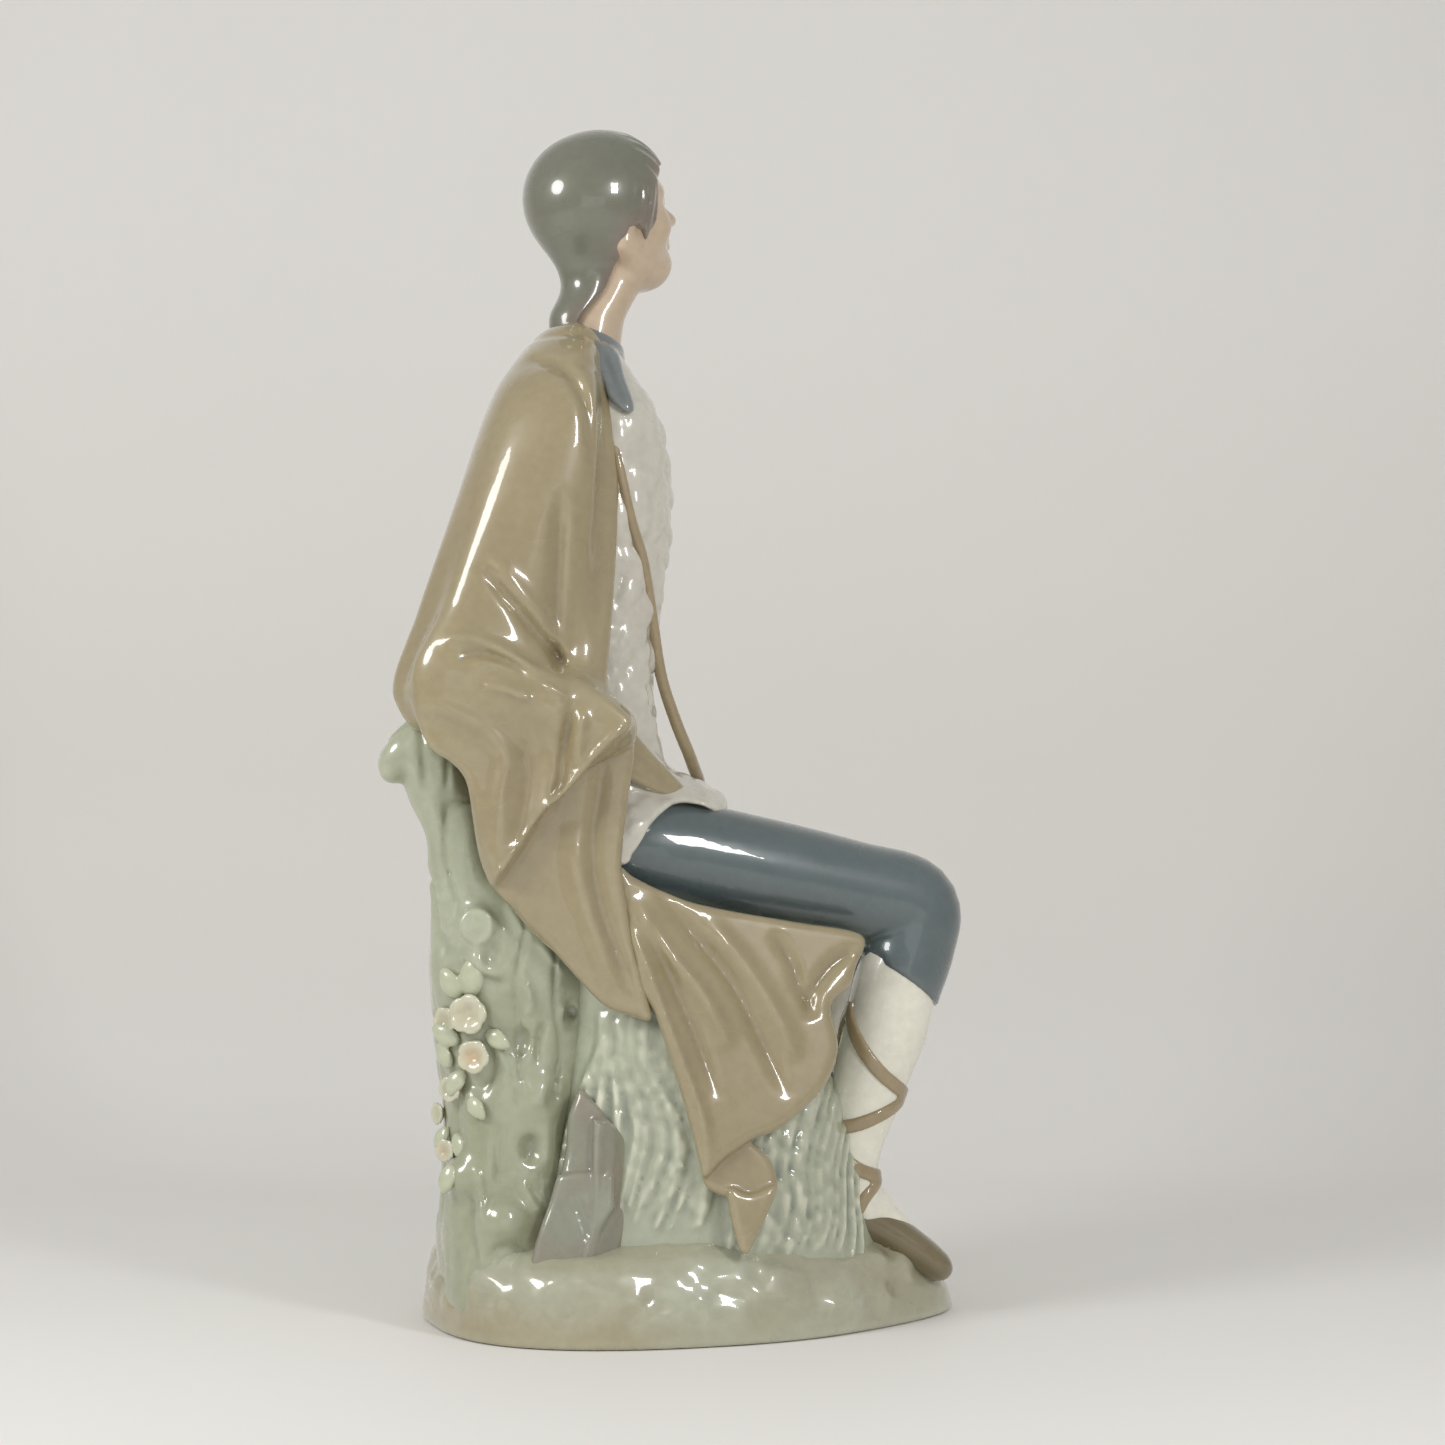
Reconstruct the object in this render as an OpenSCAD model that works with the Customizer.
// Seated shepherd boy on a tree stump, a slip-cast porcelain figure in its separate castings.
// +X is where the boy faces, +Y is the boy's left, +Z is up. The origin is the middle of the underside.

/* [Base] */
// Width of the base across the figure
base_width = 86; // [80:1:96]
// Height of the rim of the base at the toe
base_rim = 6; // [4.5:0.5:8]
// Height of the rim of the base round the trunk
rear_rim = 15; // [12:0.5:18]
// How far each side of the base draws in towards the toe
toe_taper = 8; // [4:0.5:11]
// Height of the mound in the middle of the base
mound_height = 26; // [22:1:30]
// Ground left in front of the toe
toe_margin = 8; // [5:0.5:14]
// Ground left behind the trunk
trunk_margin = 1; // [0:0.5:5]
// Wall of the hollow casting
casting_wall = 4; // [3:0.5:6]
// Vent hole in the underside
vent_diameter = 7; // [4:0.5:10]

/* [Stump and ground] */
// Depth of the trunk from front to back
trunk_depth = 36; // [31:1:41]
// Width of the trunk across the figure
trunk_width = 46; // [40:1:52]
// How far the trunk stands behind the hips
trunk_setback = 15; // [11:1:19]
// Depth of the bark ridges
bark_depth = 0.8; // [0.3:0.1:1.5]
// Thickness of the broken limb
limb_thickness = 12.5; // [10:0.5:15]
// Rise of the broken limb above the seat
limb_rise = 26; // [20:1:32]
// Diameter of the sawn knot
knot_diameter = 7.2; // [5:0.2:9]
// Length of the grass bank from front to back
bank_length = 68; // [60:1:75]
// Width of the grass bank across the figure
bank_width = 66; // [58:1:72]
// Depth of the carved grass
grass_depth = 0.9; // [0.4:0.1:1.6]
// Size of the largest rock
rock_size = 14; // [11:1:18]
// Length of a sprig leaf
leaf_length = 8; // [6:0.5:10]
// Thickness of a leaf
leaf_thickness = 1.1; // [0.8:0.1:1.5]
// Length of a petal
petal_length = 5.6; // [4:0.2:7]
// Thickness of a petal
petal_thickness = 1.2; // [0.8:0.1:1.6]

/* [Legs] */
// Length of a thigh from hip to knee
thigh_length = 72; // [64:1:80]
// How far the knee lies below the hip
thigh_drop = 13; // [8:1:18]
// Thickness of a thigh in its breeches
thigh_thickness = 21.5; // [18:0.5:25]
// Distance between the hip joints
hip_spacing = 29; // [25:1:33]
// Distance between the knees
knee_spacing = 38; // [34:1:42]
// Length of a shin from knee to ankle
shin_length = 64; // [58:1:70]
// How far the ankle is drawn back behind the knee
shin_setback = 13; // [8:1:18]
// Thickness of a calf in its stocking
calf_thickness = 18.5; // [16:0.5:21]
// Thickness of an ankle
ankle_thickness = 11; // [9:0.5:13]
// Height of the ankle above the ground under it
ankle_rise = 9.5; // [8:0.5:12]
// How far the breeches reach below the knee
breeches_hem = 20; // [16:0.5:24]
// Reach of the shoe in front of the ankle
toe_reach = 19; // [15:0.5:23]
// Width of a shoe
shoe_width = 11; // [9:0.5:13]
// Height of a shoe
shoe_height = 9; // [7:0.5:11]
// Width of a leg strap
leg_strap_width = 3.2; // [2:0.2:4.4]

/* [Body] */
// Length of the body from the hips to the pit of the neck
torso_length = 110; // [100:1:120]
// Depth of the chest in the fleece vest
chest_depth = 34; // [30:1:38]
// Width of the shoulders in the fleece vest
shoulder_width = 50; // [46:1:56]
// Depth of the fleece curls
fleece_depth = 0.7; // [0.3:0.1:1.2]
// Thickness of the neck
neck_thickness = 13; // [11:0.5:15]
// Height of the chin above the pit of the neck
chin_rise = 12.5; // [11:0.5:16]
// Height of the head from chin to crown
head_height = 33.5; // [31:0.5:37]
// Length of the head from brow to back
head_length = 31; // [28:0.5:34]
// Width of the head
head_width = 26.5; // [24:0.5:29]
// Turn of the head to the boy's left, in degrees
head_turn = 9; // [0:1:25]
// Thickness of the hair over the skull
hair_thickness = 1.6; // [1:0.1:2.6]
// Thickness of an upper arm in its sleeve
arm_thickness = 17; // [14:0.5:20]

/* [Cloak] */
// How far the right elbow stands behind the hips
elbow_setback = 33; // [28:1:38]
// Thickness of the cloth as modelled
cloth_thickness = 4; // [3:0.25:6]
// Depth of the folds
fold_depth = 1.5; // [0.5:0.1:2.5]
// Width of the facing along the front edge
facing_width = 7; // [5:0.5:9]
// Fall of the drape below the elbow
drape_fall = 46; // [38:1:52]
// Fall of the side panel below the hips
panel_fall = 36; // [30:1:42]
// Width of the tail under the thigh
tail_width = 54; // [46:1:60]
// Height of the tail's tip above the floor
tail_tip = 18; // [16:0.5:26]

/* [Trim] */
// Width of the satchel strap
strap_width = 4.2; // [3:0.2:6]
// Thickness of the straps
strap_thickness = 1.6; // [1.2:0.1:2.4]
// Width of the sash
sash_width = 8; // [6:0.5:10]
// Length of the satchel
satchel_length = 27; // [22:1:32]
// Depth of the satchel
satchel_depth = 11; // [8:0.5:14]
// Height of the satchel
satchel_height = 24; // [20:1:28]

/* [Hidden] */

// sides of the boy
RIGHT = -1;
LEFT = 1;

// glaze colours
C_CLOAK = [0.59, 0.53, 0.42];
C_FLEECE = [0.78, 0.75, 0.72];
C_BREECHES = [0.38, 0.43, 0.45];
C_STOCKING = [0.86, 0.84, 0.80];
C_STRAP = [0.52, 0.46, 0.36];
C_SHOE = [0.45, 0.40, 0.29];
C_SHIRT = [0.47, 0.50, 0.52];
C_SKIN = [0.74, 0.65, 0.54];
C_HAIR = [0.42, 0.43, 0.38];
C_BARK = [0.62, 0.65, 0.57];
C_GROUND = [0.62, 0.61, 0.53];
C_GRASS = [0.74, 0.77, 0.69];
C_PETAL = [0.86, 0.78, 0.68];

// turn of the forms that face the viewer's side: the stump and the right of the cloak
view_turn = -20;
// outline of the base, seen from above
base_power = 2.6;
mound_power = 0.8;

// places along the boy's length, measured from the hip centre
knee_run = sqrt(pow(thigh_length, 2) - pow(thigh_drop, 2));
hip_y = hip_spacing / 2;
knee_y = knee_spacing / 2;
ankle_x = knee_run - shin_setback;
toe_x = ankle_x + toe_reach;
trunk_x = -trunk_setback;
trunk_y = -trunk_width * 0.07;
base_front = toe_x + toe_margin;
base_rear = trunk_x - trunk_depth / 2 - trunk_margin;
base_mid = (base_front + base_rear) / 2;
base_half = (base_front - base_rear) / 2;

// heights, from the ground up through the legs to the head
ankle_z = ground(ankle_x, knee_y) + ankle_rise;
knee_z = ankle_z + sqrt(pow(shin_length, 2) - pow(shin_setback, 2));
hip_z = knee_z + thigh_drop;
seat_z = hip_z - thigh_thickness * 0.25;
hip_half = (hip_spacing + thigh_thickness) / 2;
neck_z = hip_z + torso_length;
chin_z = neck_z + chin_rise;

// Place along the base, from -1 at its rear to 1 at its front.
function base_share(x) = (x - base_mid) / base_half;

// Half width of the base at a place along it.
function base_side(x) = base_width / 2 - toe_taper * ease(base_share(x) + 0.08);

// Height of the mound at a place along it and a share of the way from its middle to its rim.
function mound(x, share) = let (rim = mix(base_rim, rear_rim, ease(0.9 - 1.19 * base_share(x))))
    rim + (mound_height - rim) * pow(max(0, 1 - share * share), mound_power);

// Height of the ground at a place on the base.
function ground(x, y) = mound(x, pow(pow(abs(base_share(x)), base_power)
    + pow(abs(y) / base_side(x), base_power), 1 / base_power));

// Smooth rise from 0 to 1.
function ease(t) = let (s = min(max(t, 0), 1)) s * s * (3 - 2 * s);

// Place in the figure's axes of a place in the turned axes.
function turned_place(p) = [p[0] * cos(view_turn) - p[1] * sin(view_turn),
    p[0] * sin(view_turn) + p[1] * cos(view_turn), p[2]];

// Blend of two values.
function mix(a, b, t) = a + (b - a) * t;

// Copy of a vector with length one.
function unit(v) = v / norm(v);

// Smooth curve through a list of rows, at a share of its length.
function along(rows, t) =
    let (last = len(rows) - 1, s = min(max(t, 0), 1) * last, i = min(floor(s), last - 1), u = s - i,
        a = rows[max(i - 1, 0)], b = rows[i], c = rows[i + 1], d = rows[min(i + 2, last)])
    0.5 * (2 * b + (c - a) * u + (2 * a - 5 * b + 4 * c - d) * u * u
        + (3 * b - a - 3 * c + d) * u * u * u);

// Middle of a row, without its widths.
function middle(row) = [row[0], row[1], row[2]];

// Direction of a list of rows at a share of its length.
function heading(rows, t) = unit(middle(along(rows, t + 0.01)) - middle(along(rows, t - 0.01)));

// Rounding of a loft's ends, as a scale of its section.
function dome(t, first, last) =
    t < first ? sqrt(max(0.02, 1 - pow(1 - t / first, 2)))
    : t > 1 - last ? sqrt(max(0.02, 1 - pow(1 - (1 - t) / last, 2))) : 1;

// Signed power of a sine or cosine, which squares up an ellipse.
function squared(c, power) = sign(c) * pow(abs(c), 2 / power);

// Triangles that skin a stack of rings, with a fan at each end.
function skin(rings, sides) = let (last = rings * sides + 1) concat(
    [for (j = [0:sides - 1]) [0, 1 + j, 1 + (j + 1) % sides]],
    [for (i = [0:rings - 2], j = [0:sides - 1])
        let (a = 1 + i * sides + j, b = 1 + i * sides + (j + 1) % sides) [a, a + sides, b]],
    [for (i = [0:rings - 2], j = [0:sides - 1])
        let (a = 1 + i * sides + j, b = 1 + i * sides + (j + 1) % sides) [b, a + sides, b + sides]],
    [for (j = [0:sides - 1]) [last, last - sides + (j + 1) % sides, last - sides + j]]);

// Point on a loft: rows are [x, y, z, half width, half depth]. A level loft has flat rings.
function loft_point(rows, t, a, level, power, scale, swell) =
    let (row = along(rows, t), run = heading(rows, t),
        side = level ? [1, 0, 0] : unit([0, 1, 0] - run * run[1]),
        front = level ? [0, 1, 0] : cross(run, side))
    middle(row)
        + side * (row[3] * squared(cos(a), power) + swell * cos(a)) * scale
        + front * (row[4] * squared(sin(a), power) + swell * sin(a)) * scale;

// Closed solid through a list of rows. relief(t, a) adds height to its skin.
module loft(rows, sides, rings, level = false, power = 2, first = 0, last = 0,
        relief = function (t, a) 0) {
    shares = [for (i = [0:rings - 1]) (1 - cos(180 * i / (rings - 1))) / 2];
    points = concat([middle(along(rows, 0))],
        [for (t = shares, j = [0:sides - 1]) let (a = 360 * j / sides)
            loft_point(rows, t, a, level, power, dome(t, first, last), relief(t, a))],
        [middle(along(rows, 1))]);
    polyhedron(points, skin(rings, sides), convexity = 6);
}

// Flat band along a list of points. outward gives the way its face looks at each point.
module band(points, outward, half_width, half_thickness, sides = 6) {
    count = len(points);
    ring = function (i) let (
        run = unit(points[min(i + 1, count - 1)] - points[max(i - 1, 0)]),
        face = unit(outward[i] - run * (run * outward[i])), side = cross(face, run))
        [for (j = [0:sides - 1]) let (a = 360 * (j + 0.5) / sides)
            points[i] + side * half_width * squared(cos(a), 3) + face * half_thickness * squared(sin(a), 3)];
    polyhedron(concat([points[0]], [for (i = [0:count - 1]) each ring(i)], [points[count - 1]]),
        skin(count, sides), convexity = 6);
}

// A casting in its colour and place: its form, less the forms it is seated against.
module seated(colour) {
    color(colour) translate([-base_mid, 0, 0]) resize([0, 0, 0]) difference() {
        children(0);
        children([1:$children - 1]);
    }
}

// Sets a form in axes turned about the hips.
module turned() {
    rotate(view_turn) children();
}

// Ring of the base at a share of its outline, drawn in by an inset. height(x) gives its height.
function base_ring(share, inset, sides, height) = [for (j = [0:sides - 1])
    let (a = 360 * j / sides, x = base_mid + (base_half - inset) * share * squared(cos(a), base_power))
    [x, (base_side(x) - inset) * share * squared(sin(a), base_power), height(x)]];

// Closed solid through rings of points.
module stacked(rings) {
    half = len(rings[0]) / 2;
    top = rings[len(rings) - 1];
    polyhedron(concat([(rings[0][0] + rings[0][half]) / 2], [for (ring = rings) each ring],
        [(top[0] + top[half]) / 2]), skin(len(rings), half * 2), convexity = 6);
}

// shares of the base's outline at which its mound is drawn
mound_shares = [1, 0.96, 0.82, 0.6, 0.36, 0.14];

module form_base() {
    foot = base_ring(0.97, 0, 32, function (x) -base_rim * 0.2);
    wall = base_ring(1, 0, 32, function (x) base_rim * 0.3);
    stacked(concat([foot, wall],
        [for (share = mound_shares) base_ring(share, 0, 32, function (x) mound(x, share))]));
}

// The hollow of the base, inside its wall.
module form_hollow() {
    wall = casting_wall;
    stacked(concat([base_ring(0.97, wall, 20, function (x) wall)],
        [for (share = mound_shares) base_ring(share, wall, 20, function (x)
            max(wall * (2 - share), mound(x, share) - wall))]));
}

// Rows of the trunk in turned axes: share of its height, shift, share of its depth, share of its width.
trunk_shape = [[0.03, -0.05, 0.72, 0.98], [0.12, -0.06, 0.71, 1], [0.22, -0.068, 0.71, 1],
    [0.41, -0.017, 0.8, 0.98], [0.61, 0.011, 0.955, 1], [0.855, 0, 1, 1], [1, 0.055, 0.83, 0.87]];

// Value of a column of the trunk's rows at a share of its height.
function trunk_value(share, column) = lookup(share, [for (s = trunk_shape) [s[0], s[column]]]);

module form_trunk() {
    rows = [for (s = trunk_shape) [trunk_x + trunk_depth * s[1], trunk_y, seat_z * s[0],
        trunk_depth / 2 * s[2], trunk_width / 2 * s[3]]];
    bark = function (t, a) bark_depth * ease(5 * t - 0.6)
        * (sin(6 * a + 70 * sin(300 * t)) + 0.6 * sin(11 * a - 500 * t));
    turned() loft(rows, 24, 10, level = true, power = 2.2, last = 0.08, relief = bark);
}

// Rows of the broken limb in turned axes, from inside the trunk out to its rounded end:
// shift, outward, share of the seat's height, share of the rise, thickness share.
limb_shape = [[-0.06, -0.3, 0.79, 0, 0.85], [-0.23, -0.39, 0.97, 0, 0.62],
    [-0.325, -0.44, 1, 0.45, 0.48], [-0.45, -0.48, 1, 0.8, 0.5], [-0.636, -0.51, 1, 1, 0.45]];
limb_rows = [for (s = limb_shape) [trunk_x + trunk_depth * s[0], trunk_width * s[1],
    seat_z * s[2] + limb_rise * s[3], limb_thickness * s[4], limb_thickness * s[4]]];

module form_limb() {
    bark = function (t, a) bark_depth * 0.6 * sin(4 * a + 200 * t);
    turned() loft(limb_rows, 12, 9, last = 0.22, relief = bark);
}

module form_knot() {
    half = knot_diameter / 2;
    stub = [for (s = [0, 0.5, 0.9, 1]) [trunk_x - trunk_depth * mix(0.17, 0.2, s),
        -trunk_width * mix(0.33, 0.63, s), seat_z * mix(0.87, 0.89, s),
        half * mix(1.25, 1, s), half * mix(1.25, 1, s)]];
    turned() loft(stub, 12, 4);
}

// Rows of the grass bank: share of its height, front against the thigh's run, shares of length and width.
bank_shape = [[0.08, 0.968, 1.18, 1.06], [0.22, 0.91, 1.09, 1.04], [0.45, 0.825, 1, 1],
    [0.65, 0.669, 0.853, 0.93], [0.84, 0.49, 0.706, 0.8], [0.97, 0.292, 0.5, 0.66]];

// Rows of the bank's lobe against the trunk, in turned axes: height, shift, outward, length, width.
lobe_shape = [[0.08, 0.057, 0.2, 0.56, 0.485], [0.22, 0.072, 0.186, 0.47, 0.47],
    [0.45, 0.094, 0.156, 0.353, 0.424], [0.65, 0.116, 0.126, 0.28, 0.348]];

module form_bank() {
    rows = [for (s = bank_shape) [knee_run * s[1] - bank_length / 2 * s[2], -bank_width * 0.015,
        seat_z * s[0], bank_length / 2 * s[2], bank_width / 2 * s[3]]];
    blades = function (t, a) grass_depth * (sin(12 * a + 50 * sin(200 * t)) + 0.4 * sin(17 * a + 90 * t));
    loft(rows, 32, 6, level = true, power = 2.3, last = 0.05, relief = blades);
    lobe = [for (s = lobe_shape) [bank_length * s[1], -bank_width * s[2], seat_z * s[0],
        bank_length / 2 * s[3], bank_width / 2 * s[4]]];
    turned() loft(lobe, 20, 5, level = true, power = 2.2, last = 0.08,
        relief = function (t, a) grass_depth * 0.8 * sin(8 * a + 60 * t));
}

// Faces of the rocks by the trunk, seen from the viewer's side, as shares of the rock size.
upper_rock = [[-0.55, 1.9], [-0.45, 2.29], [0.03, 1.69], [0.03, 1], [-0.72, 1]];
lower_rock = [[-0.74, 0.96], [0.03, 0.96], [0.01, 0.48], [-0.14, 0.14], [-0.26, -0.3], [-1.17, -0.3]];
side_rock = [[0.01, 1.7], [0.27, 1.57], [0.34, 0.96], [0.32, 0.4], [0.06, -0.3], [-0.16, -0.3], [0, 0.49]];

module form_rocks() {
    place = [trunk_x + trunk_depth * 0.6, -bank_width * 0.378, 0];
    spot = turned_place(place);
    turned() translate(place + [0, 0, ground(spot[0], spot[1])]) rotate([90, 0, 0])
        for (face = [upper_rock, lower_rock, side_rock])
            linear_extrude(bank_width * 0.143, center = true) polygon(face * rock_size);
}

// A place on the trunk's skin in turned axes, at a height share and a turn about the trunk.
function on_trunk(share, turn, out) = [
    trunk_x + trunk_depth * trunk_value(share, 1)
        + (trunk_depth / 2 * trunk_value(share, 2) + out) * cos(turn),
    trunk_y + (trunk_width / 2 * trunk_value(share, 3) + out) * sin(turn), seat_z * share];

// A flat leaf, rooted at the origin and lying along +X with its face up.
module blade(length, width, thickness, lift) {
    loft([[0, 0, 0, width * 0.22, thickness], [length * 0.4, 0, lift * 0.7, width * 0.46, thickness],
        [length * 0.75, 0, lift, width * 0.46, thickness],
        [length, 0, lift * 0.8, width * 0.16, thickness * 0.7]], 4, 5);
}

// points round a blossom's outline
blossom_sides = 20;

// A blossom: five joined petals round a button, facing along a turn about the trunk.
module blossom(share, turn, size) {
    petals = [for (k = [0:blossom_sides - 1])
        let (a = 360 * k / blossom_sides, r = size * (0.82 + 0.18 * cos(5 * a))) [r * cos(a), r * sin(a)]];
    translate(on_trunk(share, turn, 0)) rotate([0, 90, turn]) {
        translate([0, 0, -petal_thickness])
            linear_extrude(petal_thickness * 2.5, scale = 0.85) polygon(petals);
        cylinder(h = petal_thickness * 2.5, r1 = size * 0.34, r2 = size * 0.2, $fn = 8);
    }
}

// turn about the trunk of the sprig's middle, and its blossoms: height share, turn, size share
sprig_turn = 229;
blossoms = [[0.7, 4, 1], [0.57, 18, 0.8], [0.47, -6, 0.65]];
leaves = [[0.77, 2, 150], [0.64, 22, 20], [0.6, -10, 100], [0.49, 12, -30], [0.37, -4, 170]];

module form_blossoms() {
    turned() for (b = blossoms) blossom(b[0], sprig_turn + b[1], petal_length * b[2]);
}

module form_leaves() {
    turned() for (f = leaves) translate(on_trunk(f[0], sprig_turn + f[1], leaf_thickness * 0.3))
        rotate([0, 90, sprig_turn + f[1]]) rotate(f[2])
            blade(leaf_length, leaf_length * 0.55, leaf_thickness, leaf_thickness);
}

// Rows of a leg of the breeches, round the knee and down to the hem.
function breeches_rows(side) = let (h = thigh_thickness / 2, k = knee_run,
    top = side * hip_y, low = side * knee_y) [
    [-h * 0.6, top, hip_z, h * 0.92, h * 0.95],
    [k * 0.2, mix(top, low, 0.2), hip_z - thigh_drop * 0.08, h, h * 1.02],
    [k * 0.5, mix(top, low, 0.5), hip_z - thigh_drop * 0.4, h, h * 1.02],
    [k * 0.8, mix(top, low, 0.8), hip_z - thigh_drop * 0.76, h * 0.95, h * 0.97],
    [k - h * 0.12, low, knee_z - h * 0.05, h * 0.9, h * 0.98],
    [k - h * 0.12, low, knee_z - breeches_hem * 0.45, h * 0.87, h * 0.94],
    [k - shin_setback * 0.4, low, knee_z - breeches_hem, h * 0.88, h * 0.93]];

module form_breeches(side) {
    loft(breeches_rows(side), 14, 12, first = 0.12);
}

// Rows of a stocking, from inside the hem down to the foot.
function stocking_rows(side) = let (c = calf_thickness / 2, a = ankle_thickness / 2, low = side * knee_y) [
    [knee_run - shin_setback * 0.3, low, knee_z - breeches_hem * 0.7, c * 0.95, c * 0.95],
    [knee_run - shin_setback * 0.46, low, mix(knee_z, ankle_z, 0.43), c * 0.96, c],
    [knee_run - shin_setback * 0.68, low, mix(knee_z, ankle_z, 0.63), c * 0.84, c * 0.88],
    [knee_run - shin_setback * 0.86, low, mix(knee_z, ankle_z, 0.83), a * 1.1, a * 1.15],
    [ankle_x + a * 0.18, low, ankle_z, a, a],
    [ankle_x + a * 0.55, low, ankle_z - ankle_rise * 0.5, a, a * 1.15]];

module form_stocking(side) {
    loft(stocking_rows(side), 12, 8);
}

// Rows of a shoe along the ground, from heel to toe.
function shoe_rows(side) = let (w = shoe_width / 2, h = shoe_height / 2, low = side * knee_y) [
    for (s = [[-0.36, 0, 0.7, 0.8], [-0.12, 0, 0.95, 1.05], [0.3, 0.04, 1, 0.95], [0.7, 0.12, 0.95, 0.75],
            [1, 0.2, 0.6, 0.55]])
        let (x = ankle_x + toe_reach * s[0], y = low + side * toe_reach * s[1])
        [x, y, ground(x, y) + h * s[3] * 0.8, w * s[2], h * s[3]]];

module form_shoe(side) {
    loft(shoe_rows(side), 12, 8, power = 2.3, first = 0.14, last = 0.16);
}

// Two crossing straps wound down a stocking. They cross at these shares of the stocking's rows.
strap_crossings = [[0.15, 0], [0.39, 1], [0.56, 2], [0.74, 3], [0.93, 4]];

module form_leg_straps(side) {
    rows = stocking_rows(side);
    steps = 18;
    for (way = [-1, 1]) {
        share = function (i) mix(0.15, 0.93, i / steps);
        turn = function (i) 270 + way * 180 * lookup(share(i), strap_crossings);
        at = function (i, out) loft_point(rows, share(i), turn(i), false, 2, 1, out);
        band([for (i = [0:steps]) at(i, strap_thickness * 0.2)],
            [for (i = [0:steps]) at(i, 1) - middle(along(rows, share(i)))],
            leg_strap_width / 2, strap_thickness / 2, 4);
    }
}

// Rows of the vest: share of the body's length, shift, share of depth, share of width.
vest_shape = [[-0.01, 0.07, 0.8, 0.84], [0.06, 0.082, 0.91, 0.88], [0.21, 0.047, 0.753, 0.78],
    [0.347, 0.012, 0.718, 0.76], [0.493, 0.009, 0.859, 0.784], [0.656, 0.041, 0.906, 0.864],
    [0.775, 0.041, 0.87, 0.9], [0.86, 0.018, 0.647, 0.88], [0.95, 0, 0.506, 0.624],
    [1.006, 0, 0.388, 0.368]];
vest_rows = [for (s = vest_shape) [chest_depth * s[1], 0, hip_z + torso_length * s[0],
    chest_depth / 2 * s[2], shoulder_width / 2 * s[3]]];

module form_vest() {
    curls = function (t, a) fleece_depth * sin(5 * a + 200 * t) * sin(1400 * t + 40 * sin(3 * a));
    loft(vest_rows, 20, 15, level = true, power = 2.3, first = 0.06, relief = curls);
}

// Rows of the vest's skirt, in the vest's terms.
skirt_shape = [[-0.053, 0.07, 0.706, 1], [0.002, 0.16, 0.9, 1.06], [0.055, 0.3, 1.2, 0.824],
    [0.102, 0.28, 1.15, 0.627], [0.138, 0.2, 0.85, 0.627], [0.17, 0.1, 0.66, 0.667]];

module form_skirt() {
    rows = [for (s = skirt_shape) [chest_depth * s[1], 0, hip_z + torso_length * s[0],
        chest_depth / 2 * s[2], hip_half * s[3]]];
    loft(rows, 20, 8, level = true, power = 2.4, first = 0.1, last = 0.15);
}

module form_collar() {
    n = neck_thickness / 2;
    loft([[n * 0.15, 0, neck_z - n * 1.85, n * 1.3, n * 1.7],
        [n * 0.08, 0, neck_z - n * 0.46, n * 1.4, n * 1.5],
        [n * 0.23, 0, neck_z + n * 0.77, n * 1.18, n * 1.2]], 16, 4, level = true);
    for (side = [RIGHT, LEFT])
        loft([[n * 0.4, side * n, neck_z + n * 0.3, n * 0.4, n * 0.4],
            [n * 1.25, side * n * 1.8, neck_z - n * 0.95, n * 0.62, n * 0.42],
            [n * 1.05, side * n * 2.85, neck_z - n * 2.2, n * 0.2, n * 0.26]], 8, 5, first = 0.15);
}

// Rows of the head above the chin: height share, shift, half depth share, half width share.
head_shape = [[0, 0.3, 0.14, 0.2], [0.1, 0.26, 0.3, 0.5], [0.25, 0.14, 0.38, 0.76],
    [0.45, 0.07, 0.46, 0.94], [0.65, 0.02, 0.5, 1], [0.8, -0.01, 0.47, 0.95],
    [0.92, -0.03, 0.36, 0.74], [0.98, -0.05, 0.2, 0.42], [1, -0.05, 0.06, 0.12]];
function head_rows(extra) = [for (s = head_shape) [head_length * s[1], 0, head_height * s[0],
    head_length * s[2] + extra, head_width / 2 * s[3] + extra]];

// Rows of the hair from the nape up to the widest part of the head, in the same terms.
hair_shape = [[-0.24, -0.2, 0.07, 0.3], [0, -0.19, 0.12, 0.48], [0.25, -0.08, 0.34, 0.86],
    [0.45, 0, 0.45, 0.96]];

// Front edge of the hair, seen from the side, as shares of the head's length and height.
hair_front = [[1, 0.74], [0.4, 0.76], [0.16, 0.64], [0.17, 0.26], [0.06, 0.2], [-0.2, -0.06],
    [-0.2, -0.4], [1, -0.4]];

// Places a shape on top of the neck, turned with the head.
module on_neck() {
    translate([neck_thickness * 0.34, 0, chin_z]) rotate(head_turn) children();
}

// Rows of an ear, from its lobe up: shares of the head's length, width and height, then of its half width.
ear_shape = [[0.02, 0.46, 0.3, 0.09, 0.12], [0.04, 0.49, 0.4, 0.113, 0.196],
    [0.08, 0.5, 0.52, 0.113, 0.21]];

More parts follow.
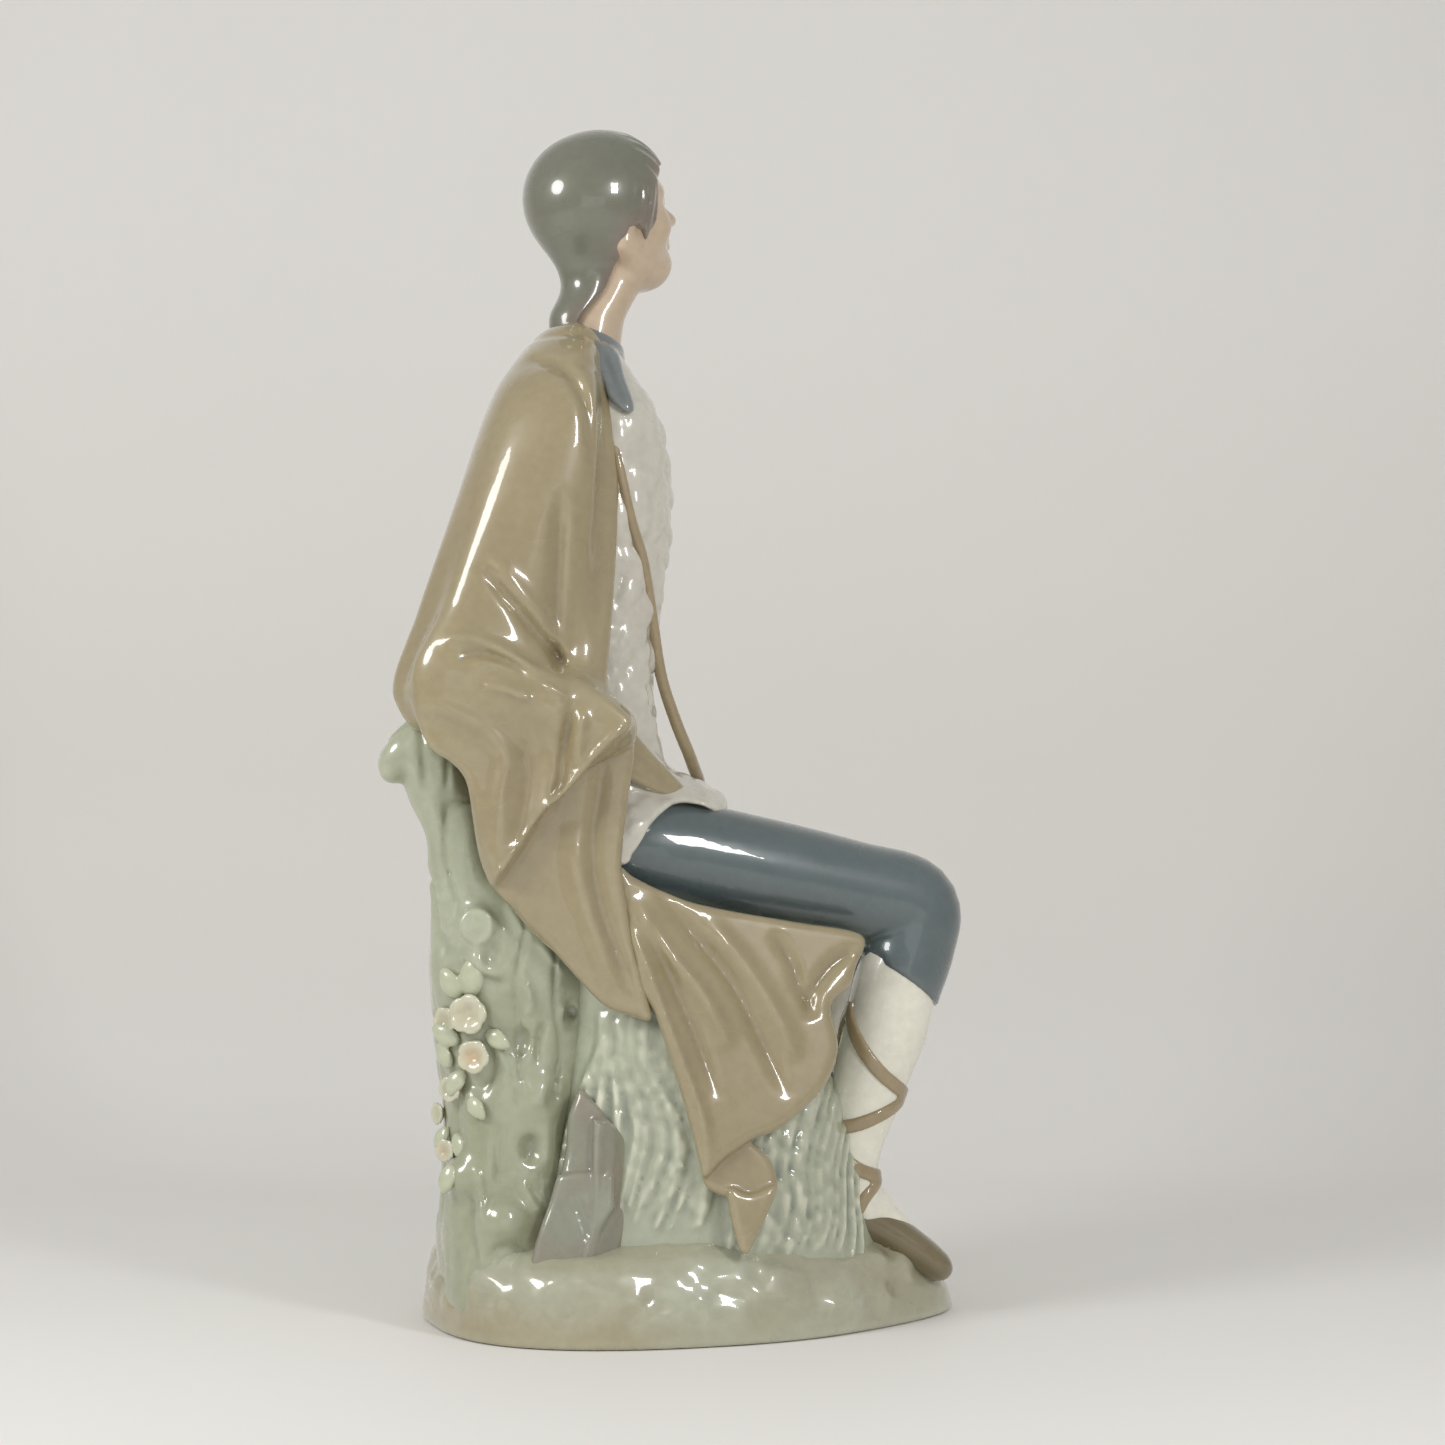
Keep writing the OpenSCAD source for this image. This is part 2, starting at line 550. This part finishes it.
module form_head() {
    n = neck_thickness / 2;
    loft([[-n * 0.3, 0, neck_z - n * 0.92, n * 1.1, n * 1.1], [0, 0, neck_z + n * 0.46, n, n],
        [n * 0.55, 0, chin_z + n * 0.15, n, n], [n * 0.7, 0, chin_z + head_height * 0.4, n, n]],
        16, 6, level = true);
    on_neck() {
        loft(head_rows(0), 18, 10, level = true, power = 2.2);
        // nose
        loft([for (s = [[0.5, 0.6, 0.1, 0.12], [0.53, 0.46, 0.14, 0.15], [0.5, 0.36, 0.165, 0.15]])
            [head_length * s[0], 0, head_height * s[1], head_width / 2 * s[2], head_width / 2 * s[3]]],
            6, 4, first = 0.2, last = 0.3);
        // ears
        for (side = [RIGHT, LEFT])
            loft([for (s = ear_shape) [-head_length * s[0], side * head_width * s[1], head_height * s[2],
                head_width / 2 * s[3], head_width / 2 * s[4]]], 6, 4, first = 0.3, last = 0.3);
    }
}

module form_hair() {
    nape = [for (s = hair_shape) [head_length * s[1], 0, head_height * s[0],
        head_length * s[2] + hair_thickness, head_width / 2 * s[3] + hair_thickness]];
    skull = head_rows(hair_thickness);
    on_neck() difference() {
        loft(concat(nape, [for (i = [4:len(skull) - 1]) skull[i]]), 20, 11, level = true, power = 2.2);
        // the face and the neck below the fringe and in front of the ears
        rotate([90, 0, 0]) linear_extrude(head_width * 2, center = true) polygon([for (s = hair_front)
            [head_length * s[0], head_height * s[1]]]);
    }
}

// Rows of the left sleeve, from the shoulder round the elbow to the wrist: shift against the chest's depth,
// shift against the thigh's run, outward, share of the body's length, thickness shares.
left_arm_shape = [[-0.05, 0, 0.8, 0.927, 0.95, 0.95], [-0.09, 0, 1.08, 0.8, 1, 1.05],
    [-0.12, 0, 1.22, 0.64, 0.95, 1], [-0.1, 0, 1.28, 0.5, 0.95, 1], [0, 0.05, 1.28, 0.36, 0.82, 0.88],
    [0, 0.13, 1.22, 0.25, 0.72, 0.76], [0, 0.19, 1.14, 0.19, 0.66, 0.7]];
left_arm_rows = [for (s = left_arm_shape) [chest_depth * s[0] + knee_run * s[1], shoulder_width / 2 * s[2],
    mix(hip_z, neck_z, s[3]), arm_thickness / 2 * s[4], arm_thickness / 2 * s[5]]];

module form_left_sleeve() {
    puckers = function (t, a) fold_depth / 3 * sin(360 * 5 * t + 60 * sin(a));
    loft(left_arm_rows, 12, 11, first = 0.1, relief = puckers);
}

// Row of a finger or of the wrist: a place, with half width and half depth as shares of the arm.
function hand_row(place, wide, deep) = concat(place, [arm_thickness / 2 * wide, arm_thickness / 2 * deep]);

module form_left_hand() {
    wrist = middle(along(left_arm_rows, 0.97));
    h = arm_thickness / 2;
    thigh_top = hip_z + thigh_thickness * 0.5 - thigh_drop * 0.45;
    palm = [wrist[0] + h * 0.94, wrist[1] - h * 0.59, thigh_top + h * 0.5];
    loft([hand_row(wrist, 0.45, 0.4), hand_row(mix(wrist, palm, 0.5), 0.5, 0.4), hand_row(palm, 0.66, 0.34)],
        10, 5, last = 0.2);
    for (f = [-1.5:1:1.5]) {
        knuckle = palm + [-0.12, f * 0.3, 0] * h;
        tip = [knuckle[0] + h * (1.41 - abs(f) * 0.165), knuckle[1] + h * (f * 0.16 - 0.47),
            thigh_top + h * 0.05];
        loft([hand_row(knuckle, 0.19, 0.22), hand_row(mix(knuckle, tip, 0.5) + [0, 0, h * 0.14], 0.18, 0.2),
            hand_row(tip, 0.14, 0.15)], 6, 4, last = 0.2);
    }
    thumb = palm + [-0.59, -0.4, 0.06] * h;
    loft([hand_row(thumb, 0.2, 0.24), hand_row(thumb + [0.45, -0.42, -0.05] * h, 0.2, 0.22),
        hand_row(thumb + [0.75, -0.78, -0.12] * h, 0.15, 0.16)], 6, 4, last = 0.25);
}

// Rows of the cloak over the back: share of body length, shift, half depth, half width.
back_shape = [[-0.06, -0.34, 0.42, 0.98], [0.2, -0.34, 0.44, 1], [0.5, -0.32, 0.44, 1.04],
    [0.7, -0.28, 0.44, 1.12], [0.85, -0.2, 0.38, 1.12], [0.94, -0.15, 0.32, 0.84],
    [1, -0.1, 0.29, 0.56], [1.04, -0.07, 0.24, 0.4]];

module form_cloak_back() {
    w = shoulder_width / 2;
    rows = [for (s = back_shape) [chest_depth * s[1], -w * 0.08, hip_z + torso_length * s[0],
        chest_depth * s[2], w * s[3]]];
    hang = function (t, a) fold_depth * max(0, 0.9 - t) * sin(9 * a + 30 * t);
    difference() {
        loft(rows, 28, 10, level = true, power = 2.8, relief = hang);
        translate([-chest_depth * 0.12, 0, 0]) rotate(-8) translate([0, -base_width, 0])
            cube([chest_depth * 2, base_width * 2, chin_z + head_height]);
    }
}

// Rows of the cloak over the right arm in turned axes, from the elbow up to the shoulder:
// share of the body's length, shift, outward, half across, half outward.
sleeve_shape = [[0.229, -0.67, 0.77, 1.53, 1.77], [0.32, -0.676, 0.77, 1.77, 2.12],
    [0.397, -0.633, 0.77, 1.72, 2.24], [0.529, -0.488, 0.73, 1.6, 2.18],
    [0.702, -0.33, 0.69, 1.48, 2], [0.856, -0.221, 0.61, 1.37, 1.7],
    [0.929, -0.142, 0.37, 1.13, 1.47], [0.993, -0.003, 0.13, 0.85, 1.12]];

// Rows of the forearm under the cloak in turned axes: share of the body's length, shift, outward, half.
forearm_shape = [[0.319, -0.75, 1.25, 1.05], [0.284, -0.348, 1.29, 1], [0.242, 0.02, 1.25, 0.82],
    [0.22, 0.22, 1.17, 0.6]];

module form_sleeve() {
    w = shoulder_width / 2;
    h = arm_thickness / 2;
    place = function (s) [elbow_setback * s[1], -w * s[2], mix(hip_z, neck_z, s[0])];
    rows = [for (s = sleeve_shape) concat(place(s), [h * s[3], h * s[4]])];
    fore = [for (s = forearm_shape) concat(place(s), [h * s[3], h * s[3]])];
    pull = function (t, a) fold_depth * 0.5 * (1 - t) * sin(3 * a + 300 * t);
    turned() {
        loft(rows, 22, 11, level = true, power = 2.5, first = 0.1, last = 0.08, relief = pull);
        loft(fore, 12, 6, first = 0.2, last = 0.2);
    }
}

// The turned edge of the cloak, round the neck and down the right front.
module form_facing() {
    n = neck_thickness / 2;
    w = shoulder_width / 2;
    path = [[n * 0.75, n * 1.9, neck_z - n * 0.75], [-n * 0.8, n * 1.5, neck_z - n * 0.25],
        [-n * 1.35, 0, neck_z - n * 0.15],
        [-n * 0.95, -n * 1.45, neck_z - n * 0.25], [-n * 0.2, -n * 2.4, neck_z - n * 1.4],
        [-n * 0.2, -w * 0.88, neck_z - n * 2.9], [-n * 0.55, -w * 0.97, mix(hip_z, neck_z, 0.63)],
        [-n * 0.6, -w * 1.03, mix(hip_z, neck_z, 0.44)], [-n * 0.6, -w * 1.08, mix(hip_z, neck_z, 0.29)]];
    steps = 16;
    points = [for (i = [0:steps]) along(path, i / steps)];
    outward = [for (p = points) [p[0] + n, p[1] * 1.6, p[2] > neck_z - n * 1.5 ? n * 0.6 : 0]];
    band(points, outward, facing_width / 2, cloth_thickness * 0.65, 6);
}

// Rows of a cloth that hangs facing the viewer's side, in turned axes, from its lowest corner up:
// share of the fall, shift, half width, outward. Shifts and widths are shares of the elbow's setback.
drape_shape = [[0.972, -0.5, 0.018, 1.44], [0.909, -0.498, 0.059, 1.44], [0.798, -0.462, 0.138, 1.43],
    [0.665, -0.406, 0.224, 1.42], [0.502, -0.332, 0.341, 1.41], [0.411, -0.326, 0.444, 1.4],
    [0.339, -0.358, 0.57, 1.39], [0.257, -0.336, 0.676, 1.38], [0.196, -0.38, 0.674, 1.38],
    [0.093, -0.515, 0.597, 1.37], [-0.039, -0.679, 0.279, 1.35]];
panel_shape = [[1.008, 0.452, 0.018, 1.15], [0.956, 0.355, 0.102, 1.15], [0.889, 0.291, 0.158, 1.15],
    [0.772, 0.209, 0.205, 1.15], [0.6, 0.103, 0.259, 1.15], [0.364, -0.03, 0.339, 1.15],
    [0.206, -0.109, 0.403, 1.15], [0.022, -0.108, 0.389, 1.15], [-0.28, 0.039, 0.279, 1.14],
    [-0.475, 0.138, 0.195, 1.13], [-0.661, 0.232, 0.114, 1.1]];

// Rows of a hanging cloth: its shape, the height it hangs from, its fall and half its thickness.
function cloth_rows(shape, top, fall, half) = [for (s = shape)
    [elbow_setback * s[1], -shoulder_width / 2 * s[3], top - fall * s[0], elbow_setback * s[2], half]];

module form_drape() {
    pull = function (t, a) fold_depth * 0.8 * max(0, -sin(a)) * sin(210 * cos(a) + 260 * t);
    rows = cloth_rows(drape_shape, mix(hip_z, neck_z, 0.34), drape_fall, cloth_thickness * 0.8);
    turned() loft(rows, 24, 12, level = true, power = 3, first = 0.03, last = 0.1, relief = pull);
}

module form_panel() {
    pull = function (t, a) fold_depth * 0.6 * max(0, -sin(a)) * sin(250 * cos(a) + 60 * t);
    rows = cloth_rows(panel_shape, hip_z, panel_fall, cloth_thickness * 0.8);
    turned() loft(rows, 20, 11, level = true, power = 3, first = 0.03, last = 0.1, relief = pull);
}

// Rows of the cloak tail under the right thigh: share of the fall, shift, half width, outward.
tail_shape = [[1.019, 0.424, 0.012, 1.5], [0.986, 0.426, 0.035, 1.5], [0.935, 0.437, 0.059, 1.5],
    [0.873, 0.443, 0.096, 1.5], [0.82, 0.411, 0.144, 1.49], [0.775, 0.389, 0.144, 1.48],
    [0.732, 0.36, 0.13, 1.47], [0.695, 0.4, 0.185, 1.46], [0.652, 0.439, 0.241, 1.45],
    [0.596, 0.471, 0.296, 1.43], [0.486, 0.483, 0.357, 1.36], [0.42, 0.465, 0.37, 1.3],
    [0.354, 0.479, 0.43, 1.25], [0.235, 0.5, 0.485, 1.17], [0.196, 0.364, 0.359, 1.14],
    [0.168, 0.239, 0.241, 1.13], [0.139, 0.134, 0.15, 1.13], [0.094, 0.034, 0.063, 1.15]];

module form_tail() {
    tail_fall = (hip_z - tail_tip) / tail_shape[0][0];
    rows = [for (s = tail_shape) [tail_width * s[1], -shoulder_width / 2 * s[3], hip_z - tail_fall * s[0],
        tail_width * s[2], cloth_thickness * 0.75]];
    pleats = function (t, a) fold_depth * max(0, -sin(a)) * min(1, 3 * t) * sin(380 * cos(a) - 260 * t);
    loft(rows, 28, 18, level = true, power = 3, first = 0.02, last = 0.04, relief = pleats);
}

// A place on the vest's skin: share of the vest's rows, turn from the front, height above the skin.
function on_vest(t, a, out) = loft_point(vest_rows, t, a, true, 2.3, 1, out);

// The satchel strap's places on the vest, from the right shoulder to the left hip: share of the vest's rows,
// turn from the front, and how far it stands off the vest, as a share of its thickness.
strap_places = [[0.714, -100, 0.4], [0.628, -86, 0.4], [0.56, -72, 0.4], [0.5, -60, 0.4],
    [0.427, -48, 0.5], [0.333, -28, 1.2], [0.252, -18, 2.6], [0.19, -8, 4], [0.15, 20, 3.8],
    [0.12, 50, 3.3], [0.1, 82, 3.3]];

module form_strap() {
    steps = 18;
    at = function (i, extra) let (p = along(strap_places, i / steps))
        on_vest(p[0], p[1], strap_thickness * (p[2] + extra));
    band([for (i = [0:steps]) at(i, 0)], [for (i = [0:steps]) at(i, 5) - at(i, 0)],
        strap_width / 2, strap_thickness / 2, 4);
}

// The sash's way from under the cuff across the lap and back to the left hip:
// shift against the chest's depth, outward, height above the hips against the body's length.
sash_places = [[-0.1, -0.94, 0.218], [0.2, -0.9, 0.155], [0.45, -0.66, 0.109], [0.56, -0.25, 0.1],
    [0.54, 0.3, 0.109], [0.36, 0.74, 0.127], [0, 0.86, 0.155], [-0.3, 0.8, 0.164]];

module form_sash() {
    steps = 14;
    points = [for (i = [0:steps]) let (p = along(sash_places, i / steps))
        [chest_depth * p[0], shoulder_width / 2 * p[1], hip_z + torso_length * p[2]]];
    band(points, [for (p = points) [p[0] + chest_depth * 0.1, p[1], sash_width * 0.75]],
        sash_width / 2, strap_thickness, 6);
}

// Rows of the satchel at the left hip: height share, length share, depth share.
satchel_shape = [[-0.5, 0.82, 0.5], [-0.3, 1, 0.95], [0.1, 1, 1], [0.42, 0.94, 0.6]];
satchel_place = [chest_depth * 0.08, shoulder_width * 0.62, hip_z - satchel_height * 0.08];

module form_satchel(extra = 0) {
    rows = [for (s = satchel_shape) concat(satchel_place + [0, 0, satchel_height * s[0]],
        [satchel_length / 2 * s[1] + extra, satchel_depth / 2 * s[2] + extra])];
    loft(rows, 16, 7, level = true, power = 3, first = 0.14, last = 0.14);
}

// The flap: the upper outer part of a skin over the satchel.
module form_flap() {
    intersection() {
        form_satchel(strap_thickness);
        translate(satchel_place + [-satchel_length, 0, -satchel_height * 0.12])
            cube([satchel_length * 2, satchel_depth * 2, satchel_height]);
    }
}

// Both legs of one kind.
module both_breeches() { form_breeches(RIGHT); form_breeches(LEFT); }
module both_stockings() { form_stocking(RIGHT); form_stocking(LEFT); }
module both_shoes() { form_shoe(RIGHT); form_shoe(LEFT); }

module ground_base() {
    color(C_GROUND) translate([-base_mid, 0, 0]) difference() {
        form_base();
        form_hollow();
        translate([base_rear - base_width, -base_width, -base_width])
            cube([base_half * 4, base_width * 2, base_width]);
        translate([base_mid - base_half * 0.3, base_width * 0.14, -casting_wall / 4])
            cylinder(h = casting_wall * 1.75, d = vent_diameter, $fn = 48);
    }
}

module tree_trunk() {
    seated(C_BARK) {
        form_trunk();
        form_base();
        both_breeches();
        form_vest();
        form_skirt();
    }
}
module broken_limb() { seated(C_BARK) { form_limb(); form_trunk(); } }
module sawn_knot() { seated(C_BARK) { form_knot(); form_trunk(); form_limb(); } }
module leg_forms() { both_breeches(); both_stockings(); both_shoes(); }
module grass_bank() {
    seated(C_GRASS) {
        form_bank();
        form_base();
        form_trunk();
        leg_forms();
        form_vest();
        form_skirt();
    }
}
module rocks() { seated(C_BARK) { form_rocks(); form_base(); form_trunk(); form_bank(); } }
module sprig_blossoms() { seated(C_PETAL) { form_blossoms(); form_trunk(); } }
module sprig_leaves() {
    seated(C_GRASS) {
        form_leaves();
        form_trunk();
        form_blossoms();
        form_limb();
        form_knot();
    }
}

module breeches(side) { seated(C_BREECHES) { form_breeches(side); form_stocking(side); } }
module right_breeches() { breeches(RIGHT); }
module left_breeches() {
    seated(C_BREECHES) {
        form_breeches(LEFT);
        form_stocking(LEFT);
        form_breeches(RIGHT);
    }
}
module stocking(side) { seated(C_STOCKING) { form_stocking(side); form_shoe(side); form_base(); } }
module right_stocking() { stocking(RIGHT); }
module left_stocking() { stocking(LEFT); }
module shoe(side) { seated(C_SHOE) { form_shoe(side); form_base(); } }
module right_shoe() { shoe(RIGHT); }
module left_shoe() { shoe(LEFT); }
module leg_straps(side) {
    seated(C_STRAP) {
        form_leg_straps(side);
        form_stocking(side);
        form_breeches(side);
        form_bank();
    }
}
module right_leg_straps() { leg_straps(RIGHT); }
module left_leg_straps() { leg_straps(LEFT); }

module fleece_vest() { seated(C_FLEECE) { form_vest(); both_breeches(); form_skirt(); } }
module vest_skirt() { seated(C_FLEECE) { form_skirt(); both_breeches(); } }
module shirt_collar() { seated(C_SHIRT) { form_collar(); form_vest(); form_head(); } }
module head() { seated(C_SKIN) { form_head(); form_vest(); } }
module hair() { seated(C_HAIR) { form_hair(); form_head(); form_collar(); } }
module left_sleeve() {
    seated(C_SHIRT) {
        form_left_sleeve();
        form_vest();
        form_skirt();
        both_breeches();
    }
}
module left_hand() {
    seated(C_SKIN) {
        form_left_hand();
        form_left_sleeve();
        both_breeches();
        form_skirt();
        form_vest();
    }
}

module body_forms() {
    form_vest();
    form_skirt();
    both_breeches();
    form_collar();
    form_head();
    form_left_sleeve();
}
module ground_forms() { form_base(); form_trunk(); form_limb(); form_bank(); form_rocks(); form_knot(); }
module cloak_forms() { form_cloak_back(); form_sleeve(); form_facing(); form_drape(); form_panel(); }
module cloak_back() {
    seated(C_CLOAK) {
        form_cloak_back();
        body_forms();
        ground_forms();
        form_hair();
    }
}
module cloak_sleeve() {
    seated(C_CLOAK) {
        form_sleeve();
        form_cloak_back();
        body_forms();
        ground_forms();
    }
}
module cloak_facing() {
    seated(C_CLOAK) {
        form_facing();
        form_cloak_back();
        form_sleeve();
        body_forms();
        form_hair();
        form_strap();
    }
}
module cloak_drape() {
    seated(C_CLOAK) {
        form_drape();
        form_sleeve();
        form_cloak_back();
        form_facing();
        body_forms();
        ground_forms();
    }
}
module cloak_side_panel() {
    seated(C_CLOAK) {
        form_panel();
        union() { form_drape(); form_sleeve(); form_cloak_back(); form_facing(); }
        body_forms();
        ground_forms();
    }
}
module cloak_tail() {
    seated(C_CLOAK) {
        form_tail();
        form_panel();
        form_drape();
        form_cloak_back();
        body_forms();
        leg_forms();
        ground_forms();
    }
}

module waist_sash() {
    seated(C_CLOAK) {
        form_sash();
        form_strap();
        body_forms();
        cloak_forms();
        form_left_hand();
        form_satchel(strap_thickness);
    }
}
module satchel_strap() {
    seated(C_STRAP) {
        form_strap();
        union() { body_forms(); form_cloak_back(); form_sleeve(); }
        form_left_hand();
        form_satchel(strap_thickness);
    }
}
module satchel() {
    seated(C_STRAP) {
        form_satchel();
        body_forms();
        form_cloak_back();
        ground_forms();
    }
}
module satchel_flap() {
    seated(C_STRAP) {
        form_flap();
        form_satchel();
        body_forms();
        form_cloak_back();
        ground_forms();
    }
}

ground_base();
tree_trunk();
broken_limb();
sawn_knot();
rocks();
grass_bank();
sprig_leaves();
sprig_blossoms();
right_breeches();
left_breeches();
right_stocking();
left_stocking();
right_leg_straps();
left_leg_straps();
right_shoe();
left_shoe();
fleece_vest();
vest_skirt();
shirt_collar();
head();
hair();
left_sleeve();
left_hand();
cloak_back();
cloak_sleeve();
cloak_facing();
cloak_drape();
cloak_side_panel();
cloak_tail();
waist_sash();
satchel_strap();
satchel();
satchel_flap();
